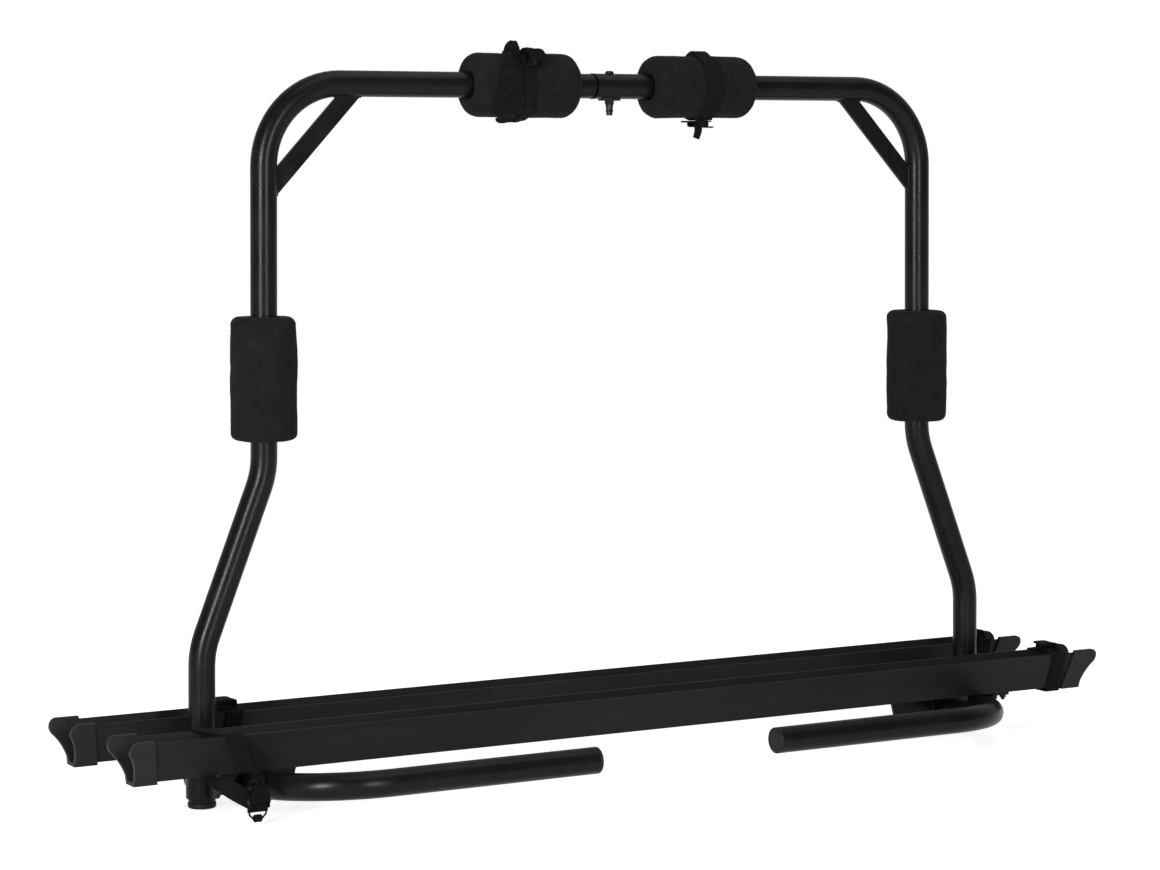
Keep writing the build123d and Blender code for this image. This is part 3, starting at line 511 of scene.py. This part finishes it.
def catmull(a, b, c, d, t):
    """A point at share t from b to c on the curve through all four."""
    square = (2 * a - 5 * b + 4 * c - d) * t * t
    cube = (3 * b - a - 3 * c + d) * t**3
    return 0.5 * ((2 * b) + (c - a) * t + square + cube)


def smooth_route(route, closed):
    """Close points on a curve through a route of (place, direction across) pairs."""
    count = len(route)
    last = count if closed else count - 1

    def stop(i):
        return route[i % count] if closed else route[min(max(i, 0), count - 1)]

    made = []
    for i in range(last):
        a, b, c, d = stop(i - 1), stop(i), stop(i + 1), stop(i + 2)
        parts = max(1, round((c[0] - b[0]).length / ROUTE_STEP))
        for part in range(parts):
            t = part / parts
            across = catmull(a[1], b[1], c[1], d[1], t).normalized()
            made.append((catmull(a[0], b[0], c[0], d[0], t), across))
    if not closed:
        made.append((route[-1][0].copy(), route[-1][1].normalized()))
    return made


def band_section(width):
    """A flat band's section as (across, up) points, with rounded selvedges."""
    half = width / 2
    lip = STRAP_THICKNESS / 2
    across = [-half + lip + (width - 2 * lip) * i / 8 for i in range(9)]
    top = [(x, lip) for x in across]
    bottom = [(x, -lip) for x in reversed(across)]
    shoulder = half - lip * 0.3
    right_edge = [(shoulder, lip * 0.6), (half, 0), (shoulder, -lip * 0.6)]
    left_edge = [(-shoulder, -lip * 0.6), (-half, 0), (-shoulder, lip * 0.6)]
    return top + right_edge + bottom + left_edge


def add_band(made, layer, route, width, closed):
    """Adds one length of webbing to a bmesh, with its weave's map."""
    stops = smooth_route(route, closed)
    section = band_section(width)
    count = len(stops)
    rings = []
    runs = []
    run = 0.0
    for i, (place, across) in enumerate(stops):
        before = stops[i - 1][0] if (closed or i > 0) else place
        after = stops[(i + 1) % count][0] if (closed or i < count - 1) else place
        along = (after - before).normalized()
        up = along.cross(across).normalized()
        side = up.cross(along).normalized()
        rings.append([made.verts.new(place + side * x + up * z) for x, z in section])
        runs.append(run)
        run += (stops[(i + 1) % count][0] - place).length
    size = len(section)
    pairs = [(i, i + 1, runs[i], runs[i + 1]) for i in range(count - 1)]
    if closed:
        pairs.append((count - 1, 0, runs[-1], run))
    for a, b, start, end in pairs:
        for i in range(size):
            j = (i + 1) % size
            face = made.faces.new((rings[a][i], rings[a][j], rings[b][j], rings[b][i]))
            near_edge = section[i][0]
            far_edge = section[j][0]
            places = [(near_edge, start), (far_edge, start), (far_edge, end), (near_edge, end)]
            for loop, uv in zip(face.loops, places):
                loop[layer].uv = uv
    if not closed:
        made.faces.new(rings[0])
        made.faces.new(list(reversed(rings[-1])))


def add_fold(made, layer, foot, out, width, height, depth):
    """A pinched loop of webbing that stands out from a turn, rounded off towards both edges."""
    rows = 28
    columns = 18
    least_rise = 0.0035
    along = RIGHT.cross(out)
    rings = []
    for i in range(rows + 1):
        share = i / (rows / 2) - 1
        power = 2.0 if share < 0 else 4.0
        rise = least_rise + (height - least_rise) * (1 - abs(share) ** power) ** 0.5
        ring = []
        for step in range(columns + 1):
            angle = math.pi * step / columns
            thick = depth / 2 * math.cos(angle) * (0.75 + 0.25 * math.cos(angle) ** 2)
            lift = rise * math.sin(angle) ** 0.7 - 0.001
            place = foot + RIGHT * share * width / 2 + along * thick + out * lift
            crease = noise.noise(place * 260) * 0.0007 * math.sin(angle)
            ring.append(made.verts.new(place + along * crease + out * crease))
        rings.append(ring)
    for i, (ring, after) in enumerate(zip(rings, rings[1:])):
        for j in range(len(ring)):
            k = (j + 1) % len(ring)
            face = made.faces.new((ring[j], ring[k], after[k], after[j]))
            corners = ((i, j), (i, j + 1), (i + 1, j + 1), (i + 1, j))
            for loop, (row, column) in zip(face.loops, corners):
                loop[layer].uv = (row * width / rows, column * height / (columns / 2))
    made.faces.new(rings[0])
    made.faces.new(list(reversed(rings[-1])))


def strap(name, bands, replaced, folds=()):
    """One strap of lengths, (route, width, closed), and pinched folds, (foot, out, width, height, depth)."""
    made = bmesh.new()
    layer = made.loops.layers.uv.new("weave")
    for band in bands:
        add_band(made, layer, *band)
    for fold in folds:
        add_fold(made, layer, *fold)
    bmesh.ops.recalc_face_normals(made, faces=made.faces)
    mesh = bpy.data.meshes.new(name)
    made.to_mesh(mesh)
    made.free()
    piece = new_piece(name, mesh, "webbing")
    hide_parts(replaced)


def ring_route(middle_x, lean, bulge):
    """A turn round a top pad. The angle runs from the top over the front; lean shifts it in X."""
    route = []
    for step in range(TURN_STEPS):
        angle = 2 * math.pi * step / TURN_STEPS
        r = WRAP_R + bulge(angle)
        place = at(middle_x + lean(angle), -r * math.sin(angle), TOP_BAR_Z + r * math.cos(angle))
        route.append((place, RIGHT))
    return route


def hump(angle, middle, spread):
    """1 at the middle angle, falling to 0 around it."""
    away = (angle - middle + math.pi) % (2 * math.pi) - math.pi
    return math.exp(-((away / spread) ** 2))


def smooth_step(value, low, high):
    share = min(1.0, max(0.0, (value - low) / (high - low)))
    return share * share * (3 - 2 * share)


def make_left_pad_strap():
    """A slanted turn, a straight one that lies over it at the top and back, and their folds."""
    middle_x = -0.140
    narrow = 0.0148
    cover_from = math.radians(52)
    cover_to = math.radians(80)

    def over_first(angle):
        away_from_front = abs((angle - math.pi / 2 + math.pi) % (2 * math.pi) - math.pi)
        return STRAP_THICKNESS * smooth_step(away_from_front, cover_from, cover_to)

    first = ring_route(
        middle_x,
        lambda a: -0.026 * math.sin(a) - 0.012 * hump(a, math.radians(128), 0.55),
        lambda a: 0.0008 * hump(a, math.radians(150), 0.3),
    )
    under_first = ring_route(
        -0.1395,
        lambda a: -0.0175 * math.sin(a) + 0.003 * hump(a, math.radians(130), 0.5),
        lambda a: -0.0005,
    )
    second = ring_route(-0.134, lambda a: 0.003 * hump(a, math.radians(140), 0.5), over_first)
    top = at(middle_x, 0, TOP_BAR_Z + WRAP_R)
    bottom = at(-0.147, -0.006, TOP_BAR_Z - WRAP_R)
    behind_bottom = bottom + Vector((-0.006, 0.007, 0))
    down_and_forward = Vector((0, -0.3, -1)).normalized()
    down_and_back = Vector((0, 0.2, -1)).normalized()
    strap(
        "left_pad_webbing",
        [(first, STRAP_WIDTH, True), (under_first, STRAP_WIDTH, True), (second, narrow, True)],
        "left_pad_strap",
        [
            (top, UP, STRAP_WIDTH - 0.001, 0.0150, 0.0062),
            (bottom, down_and_forward, 0.030, 0.0055, 0.0050),
            (behind_bottom, down_and_back, 0.017, 0.0065, 0.0040),
        ],
    )


def make_right_pad_strap():
    """One turn, pushed up on top by a soft lump, and a free end below."""
    middle_x = 0.131
    tail_width = 0.0118
    turn = ring_route(
        middle_x,
        lambda a: 0.0010 * hump(a, math.radians(95), 0.5),
        lambda a: 0.0038 * hump(a, 0.0, 0.20),
    )
    tail_x = 0.1205
    front = -0.017
    level = TOP_BAR_Z - math.sqrt(WRAP_R**2 - front**2) - 0.001
    tail = [
        (at(tail_x + 0.006, front + 0.003, level + 0.0005), RIGHT),
        (at(tail_x + 0.003, front, level - 0.003), RIGHT),
        (at(tail_x + 0.0005, front - 0.0012, level - 0.010), RIGHT),
        (at(tail_x - 0.001, front - 0.0022, level - 0.018), Vector((1, 0.1, 0.12))),
        (at(tail_x - 0.0035, front - 0.0015, level - 0.0265), Vector((1, 0.2, 0.28))),
    ]
    lump = at(middle_x, 0, TOP_BAR_Z + WRAP_R - 0.0015)
    below = at(0.130, -0.014, TOP_BAR_Z - WRAP_R + 0.002)
    down_and_forward = Vector((0, -0.35, -1)).normalized()
    strap(
        "right_pad_webbing",
        [(turn, STRAP_WIDTH, True), (tail, tail_width, False)],
        "right_pad_strap",
        [
            (lump, UP, STRAP_WIDTH + 0.006, 0.0062, 0.0140),
            (below, down_and_forward, STRAP_WIDTH + 0.004, 0.0042, 0.0050),
        ],
    )


def belt_route(x, middle_y, lean, sag):
    """A band round a rail: straight over the mouth, down the walls and round the corners."""
    corners = [
        (-RAIL_TOP_HALF, RAIL_TOP_Z),
        (RAIL_TOP_HALF, RAIL_TOP_Z),
        (RAIL_BOTTOM_HALF, RAIL_BOTTOM_Z),
        (-RAIL_BOTTOM_HALF, RAIL_BOTTOM_Z),
    ]
    route = []
    for i, (y, z) in enumerate(corners):
        before = corners[i - 1]
        after = corners[(i + 1) % 4]
        turns = []
        for a, b in ((before, (y, z)), ((y, z), after)):
            run = Vector((b[0] - a[0], b[1] - a[1])).normalized()
            turns.append(math.atan2(run.x, -run.y))
        start, end = turns
        while end > start:
            end -= 2 * math.pi
        for step in range(5):
            angle = start + (end - start) * step / 4
            route.append((y + STRAP_OFFSET * math.cos(angle), z + STRAP_OFFSET * math.sin(angle)))
        for share in (0.2, 0.5, 0.8):
            wall_y = y + (after[0] - y) * share + STRAP_OFFSET * math.cos(end)
            wall_z = z + (after[1] - z) * share + STRAP_OFFSET * math.sin(end)
            route.append((wall_y, wall_z))
    lowered = [(y, z - sag * (1 - smooth_step(z, 0.048, 0.062))) for y, z in route]
    return [(at(x + lean * (y / RAIL_TOP_HALF), middle_y + y, z), RIGHT) for y, z in lowered]


def make_front_left_strap():
    """The slack strap: from its hanging buckle up over the rail, round the far wall and back."""
    top = RAIL_TOP_Z + STRAP_OFFSET
    under = RAIL_BOTTOM_Z - STRAP_OFFSET
    near = FRONT_RAIL_Y - RAIL_TOP_HALF
    far = FRONT_RAIL_Y + RAIL_TOP_HALF
    far_x = -0.5805
    near_x = -0.5585
    hang_x = -0.5415
    behind = -0.1295
    bail_y = -0.1321
    bail_z = 0.0098
    roll_width = 0.0120
    bail_width = 0.0094
    loop_half_y = 0.0034
    loop_half_z = 0.0036
    edge_on = Vector((0.55, 0.80, 0.10))
    turning = Vector((0.85, 0.42, 0.25))
    route = [
        (at(hang_x, behind, 0.024), RIGHT),
        (at(hang_x, behind, 0.034), RIGHT),
        (at(hang_x + 0.0015, behind + 0.0005, 0.043), Vector((0.9, 0.3, 0))),
        (at(hang_x + 0.0020, behind + 0.0020, 0.052), turning),
        (at(hang_x + 0.0005, behind + 0.0060, 0.063), edge_on),
        (at(hang_x - 0.0030, behind + 0.0120, 0.075), edge_on),
        (at(hang_x - 0.0070, behind + 0.0185, 0.0860), turning),
        (at(near_x + 0.0040, near - 0.0052, 0.0950), Vector((1, 0.12, 0.35))),
        (at(near_x - 0.001, near + 0.0010, top), Vector((1, 0.05, 0.02))),
        (at(near_x - 0.006, near + 0.0120, top - 0.0003), Vector((1, 0.30, 0))),
        (at((near_x + far_x) / 2, FRONT_RAIL_Y, top - 0.0006), Vector((1, 0.36, 0))),
        (at(far_x + 0.003, far - 0.006, top), Vector((1, 0.10, 0))),
        (at(far_x, far + STRAP_OFFSET, RAIL_TOP_Z - 0.0012), RIGHT),
        (at(far_x, FRONT_RAIL_Y + 0.018 + STRAP_OFFSET, 0.0773), RIGHT),
        (at(far_x, FRONT_RAIL_Y + RAIL_BOTTOM_HALF + STRAP_OFFSET, RAIL_BOTTOM_Z + 0.001), RIGHT),
        (at(far_x, FRONT_RAIL_Y + RAIL_BOTTOM_HALF - 0.002, under), RIGHT),
        (at(far_x, FRONT_RAIL_Y - RAIL_BOTTOM_HALF, under), RIGHT),
        (at(far_x + 0.002, FRONT_RAIL_Y - RAIL_BOTTOM_HALF - 0.009, 0.0500), Vector((1, 0, 0.15))),
        (at(far_x + 0.010, -0.1010, 0.0455), Vector((0.75, 0, 0.6))),
        (at(hang_x - 0.020, -0.1130, 0.0385), Vector((0.45, 0, 0.9))),
        (at(hang_x - 0.011, -0.1230, 0.0325), Vector((0.3, 0, 0.95))),
        (at(hang_x - 0.004, behind + 0.0015, 0.0285), Vector((0.3, 0, 0.95))),
    ]
    roll = []
    bail_loop = []
    roll_r = 0.0038
    roll_middle = at(hang_x - 0.0045, behind - 0.002, 0.0495)
    for step in range(CURL_STEPS):
        angle = 2 * math.pi * step / CURL_STEPS
        place = roll_middle + VIEW_RIGHT * roll_r * math.cos(angle)
        roll.append((place + Vector((0, 0, roll_r * math.sin(angle))), VIEW_AHEAD))
        loop_y = bail_y + loop_half_y * math.cos(angle)
        loop_z = bail_z + loop_half_z * math.sin(angle)
        bail_loop.append((at(hang_x, loop_y, loop_z), RIGHT))
    strap(
        "front_left_webbing",
        [(route, STRAP_WIDTH - 0.002, False), (roll, roll_width, True), (bail_loop, bail_width, True)],
        "front_left_strap",
    )


make_left_pad_strap()
make_right_pad_strap()
make_front_left_strap()

# The tight belts' names, how far each leans along its rail, and how far it hangs below.
BELTS = (("front_right", -0.0012, 0.0032), ("back_right", 0.0008, 0.0015), ("back_left", -0.0010, 0.0020))
for name, lean, sag in BELTS:
    loop_middle = middle_of(name + "_strap") - HOOP
    around = belt_route(loop_middle.x, loop_middle.y, lean, sag)
    strap(name + "_webbing", [(around, STRAP_WIDTH, True)], name + "_strap")


# The painted shade ring in the gap beside the spigot's collar


def make_gap_shade_ring():
    """A thin ring of near-black painted shade in the gap where the tube's end meets the collar."""
    material, tree, shader = new_material("seam_shadow")
    grain = noise_value(tree, object_point(tree), 1500, 3.0, 0.65)
    looks = {
        "Base Color": ramp(tree, grain, [(0.3, grey(0.0010)), (0.7, grey(0.0020))]),
        "Normal": bump(tree, grain, 0.00010, 0.6),
        "Roughness": 0.95,
        "Specular IOR Level": 0.01,
    }
    feed(tree, shader, looks)
    half = 0.0011
    deep = TUBE_R - 0.0004
    skin = TUBE_R + 0.00025
    edge = skin - 0.0001
    outline = [(deep, half), (edge, half), (skin, half * 0.6)]
    profile = [(r, -z) for r, z in outline] + list(reversed(outline))
    mesh = lathe(profile, 96, lambda point: point)
    mesh.transform(Matrix.Translation(at(JOINT_X, 0, TOP_BAR_Z)) @ ALONG_BAR)
    # The ring carries painted shade: its near-black colour stands for the shade in the gap.
    new_piece("gap_shade_ring", mesh, "plastic_black")
    mesh.materials[0] = material


make_gap_shade_ring()


# Weld beads


def weld_bead(name, corners, radius=BEAD_R):
    """A closed, rippled bead of weld along straight runs between corners."""
    places = []
    run = 0.0
    for start, end in zip(corners, corners[1:] + corners[:1]):
        steps = max(1, round((end - start).length / BEAD_STEP))
        for step in range(steps):
            places.append((start.lerp(end, step / steps), run))
            run += (end - start).length / steps
    made = bmesh.new()
    rings = []
    for i, (place, length) in enumerate(places):
        before = places[i - 1][0]
        after = places[(i + 1) % len(places)][0]
        along = (after - before).normalized()
        side = along.orthogonal().normalized()
        up = along.cross(side)
        ripple = 1 + BEAD_RIPPLE_SHARE * math.sin(2 * math.pi * length / BEAD_RIPPLE)
        ripple += BEAD_LUMP_SHARE * noise.noise(place * 300)
        ring = []
        for step in range(BEAD_SIDES):
            angle = 2 * math.pi * step / BEAD_SIDES
            out = side * math.cos(angle) + up * math.sin(angle)
            ring.append(made.verts.new(place + out * radius * ripple))
        rings.append(ring)
    for ring, after in zip(rings, rings[1:] + rings[:1]):
        shift = min(range(BEAD_SIDES), key=lambda k: (after[k].co - ring[0].co).length)
        turned = after[shift:] + after[:shift]
        for j in range(BEAD_SIDES):
            k = (j + 1) % BEAD_SIDES
            made.faces.new((ring[j], ring[k], turned[k], turned[j]))
    bmesh.ops.recalc_face_normals(made, faces=made.faces)
    mesh = bpy.data.meshes.new(name)
    made.to_mesh(mesh)
    made.free()
    new_piece(name, mesh, "powder_black")


def circle_at(centre, radius, axis):
    turn = axis.to_track_quat("Z", "Y")
    angles = [2 * math.pi * step / TURN_STEPS for step in range(TURN_STEPS)]
    return [centre + turn @ Vector((radius * math.cos(a), radius * math.sin(a), 0)) for a in angles]


def plate_end(low, high):
    """The corners of a plate's end: (side of its middle plane, place along the end)."""
    return [(-PLATE_HALF, low), (-PLATE_HALF, high), (PLATE_HALF, high), (PLATE_HALF, low)]


for side_name, side in (("left", -1), ("right", 1)):
    low_end = [at(side * BRACE_LOW_X, y, z) for y, z in plate_end(*BRACE_LOW_Z)]
    weld_bead(side_name + "_brace_low_weld", low_end)
    high_end = [at(side * x, y, BRACE_HIGH_Z) for y, x in plate_end(*BRACE_HIGH_X)]
    weld_bead(side_name + "_brace_high_weld", high_end)
    arm_end = circle_at(at(side * ARM_X, ARM_WELD_Y, ARM_Z), TUBE_R + 0.0002, FORWARD)
    weld_bead(side_name + "_arm_weld", arm_end)
    gusset_end = [at(side * GUSSET_X, y, z) for y, z in plate_end(*GUSSET_Z)]
    weld_bead(side_name + "_gusset_weld", gusset_end)
    for web_name, end in (("front", -1), ("back", 1)):
        web_end = [at(side * FOOT_X + x, end * y, WEB_Z) for x, y in plate_end(*WEB_Y)]
        weld_bead(side_name + "_" + web_name + "_web_weld", web_end)
    collar_ring = circle_at(at(side * FOOT_X, 0, COLLAR_Z), TUBE_R + 0.0010, UP)
    weld_bead(side_name + "_collar_weld", collar_ring, COLLAR_BEAD_R)


# Stage, lights and camera


def make_floor():
    """A white floor, lifted in what the camera sees and fading to pure white far out."""
    mesh = bpy.data.meshes.new("floor")
    made = bmesh.new()
    bmesh.ops.create_grid(made, x_segments=1, y_segments=1, size=9)
    made.to_mesh(mesh)
    made.free()
    floor = bpy.data.objects.new("floor", mesh)
    bpy.context.scene.collection.objects.link(floor)
    floor.location.z = -0.0002
    material, tree, shader = new_material("pale_floor")
    feed(tree, shader, {"Base Color": (0.80, 0.80, 0.80, 1), "Roughness": 0.9, "Specular IOR Level": 0.1})
    rays = add_node(tree, "LightPath")
    in_gloss = combine(tree, "MULTIPLY", rays.outputs["Is Glossy Ray"], 0.55)
    seen = combine(tree, "MAXIMUM", rays.outputs["Is Camera Ray"], in_gloss)
    seen = combine(tree, "MAXIMUM", seen, rays.outputs["Is Transmission Ray"])
    distance = add_node(tree, "VectorMath", {0: object_point(tree)}, operation="LENGTH").outputs["Value"]
    far = span(tree, distance, 0.0, 1.0, 1.0, 2.6, "SMOOTHSTEP")
    white = add_node(tree, "Emission", {"Color": (1, 1, 1, 1), "Strength": 1.0})
    glow = combine(tree, "MULTIPLY", seen, 0.72)
    lift = add_node(tree, "Emission", {"Color": (1, 1, 1, 1), "Strength": glow})
    lit = add_node(tree, "AddShader", {0: shader.outputs[0], 1: lift.outputs[0]})
    share = combine(tree, "MULTIPLY", seen, far)
    blend = add_node(tree, "MixShader", {0: share, 1: lit.outputs[0], 2: white.outputs[0]})
    tree.links.new(blend.outputs[0], tree.nodes["Material Output"].inputs["Surface"])
    mesh.materials.append(material)


def make_world():
    """White to the camera, and a dim room to all else, brighter on the side behind the object."""
    world = bpy.data.worlds.new("studio")
    bpy.context.scene.world = world
    world.use_nodes = True
    tree = world.node_tree
    rays = add_node(tree, "LightPath")
    direction = add_node(tree, "TexCoord").outputs["Generated"]
    room = span(tree, dot(tree, direction, VIEW_AHEAD), 0.22, 0.5, -0.1, 0.5, "SMOOTHSTEP")
    strength = combine(tree, "MAXIMUM", room, rays.outputs["Is Camera Ray"])
    feed(tree, tree.nodes["Background"], {"Color": (1, 1, 1, 1), "Strength": strength})


def area_light(name, place, target, size, power):
    """A rectangular light turned towards a target."""
    light = bpy.data.lights.new(name, "AREA")
    light.shape = "RECTANGLE"
    light.size, light.size_y = size
    light.energy = power
    lamp = bpy.data.objects.new(name, light)
    bpy.context.scene.collection.objects.link(lamp)
    lamp.location = place
    facing = Vector(target) - Vector(place)
    lamp.rotation_euler = facing.to_track_quat("-Z", "Y").to_euler()


def make_camera():
    """The photograph's camera."""
    camera_data = bpy.data.cameras.new("camera")
    camera_data.lens = CAMERA_LENS
    camera_data.sensor_width = 36
    camera_data.shift_y = CAMERA_SHIFT
    camera_data.clip_end = 60
    camera = bpy.data.objects.new("camera", camera_data)
    bpy.context.scene.collection.objects.link(camera)
    camera.location = at(*CAMERA_PLACE)
    camera.rotation_euler = CAMERA_TURN
    bpy.context.scene.camera = camera


make_floor()
make_world()
area_light("left_strip", (-2.97, -1.90, 1.0), MID_HEIGHT, STRIP_SIZE, 60)
area_light("right_strip", (-0.4, -3.9, 1.0), MID_HEIGHT, STRIP_SIZE, 47)
area_light("left_core", (-2.95, -1.89, 1.02), MID_HEIGHT, CORE_SIZE, 42)
area_light("right_core", (-0.4, -3.88, 1.02), MID_HEIGHT, CORE_SIZE, 17)
area_light("top_fill", (0.3, -0.6, 3.2), (0, 0, 0.4), (3.0, 2.0), 20)
make_camera()
bpy.context.scene.view_settings.view_transform = "Standard"
